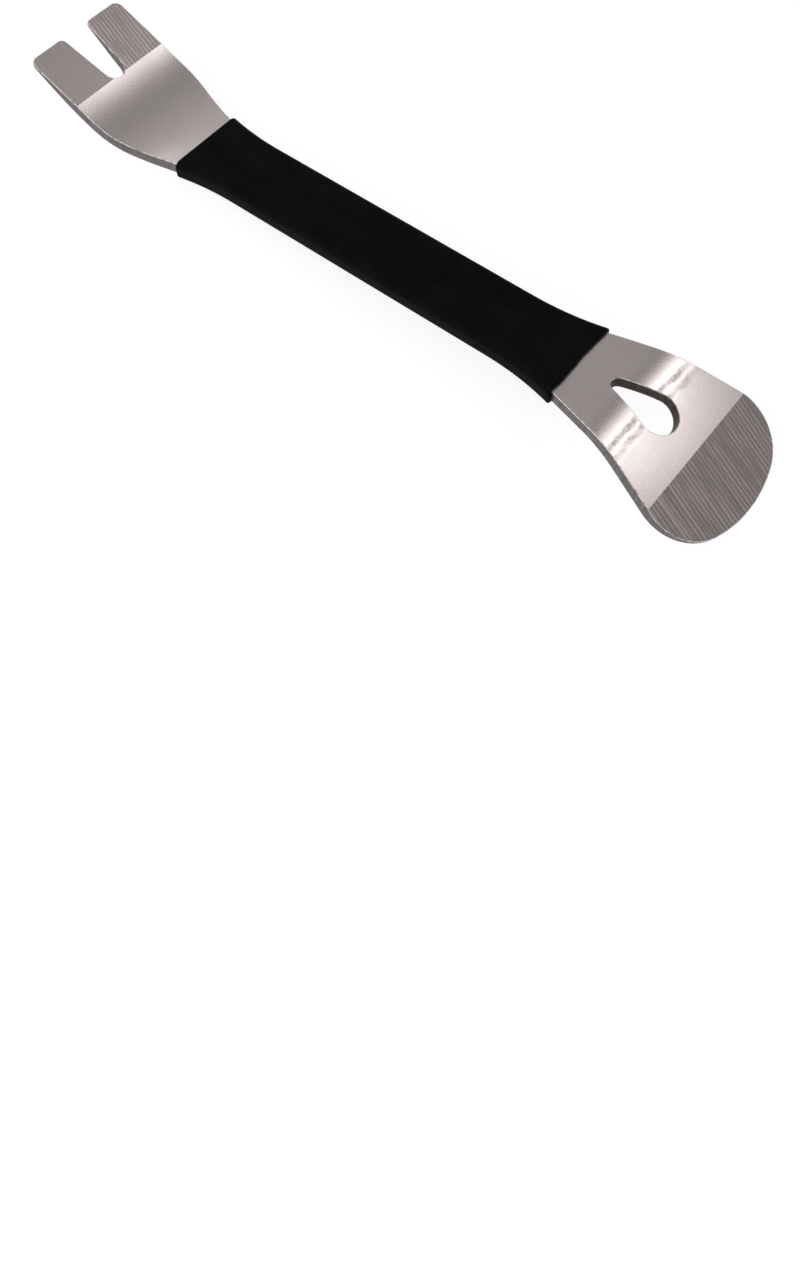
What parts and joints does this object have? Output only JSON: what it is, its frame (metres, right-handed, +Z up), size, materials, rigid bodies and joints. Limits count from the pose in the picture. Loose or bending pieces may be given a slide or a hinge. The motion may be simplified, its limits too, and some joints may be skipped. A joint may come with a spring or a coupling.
{
  "type": "trim removal tool",
  "caption": "Flat bent steel pry tool for vehicle trim clips: notched fork at one end, round-nosed spoon with a teardrop hole at the other, black shrink-tube grip between them.",
  "frame": {"origin": "bottom centre of the tool's bounding box, on the floor it lies on", "axes": "+X along the tool from fork to spoon, +Z up, ground faces up"},
  "size_m": [0.2594, 0.0494, 0.0184],
  "materials": {
    "satin_steel": "satin plate with ground ends",
    "black_grip": "matt shrink tube"
  },
  "bodies": {
    "root": {"steel_bar": "satin_steel", "grip_sleeve": "black_grip"}
  },
  "joints": []
}
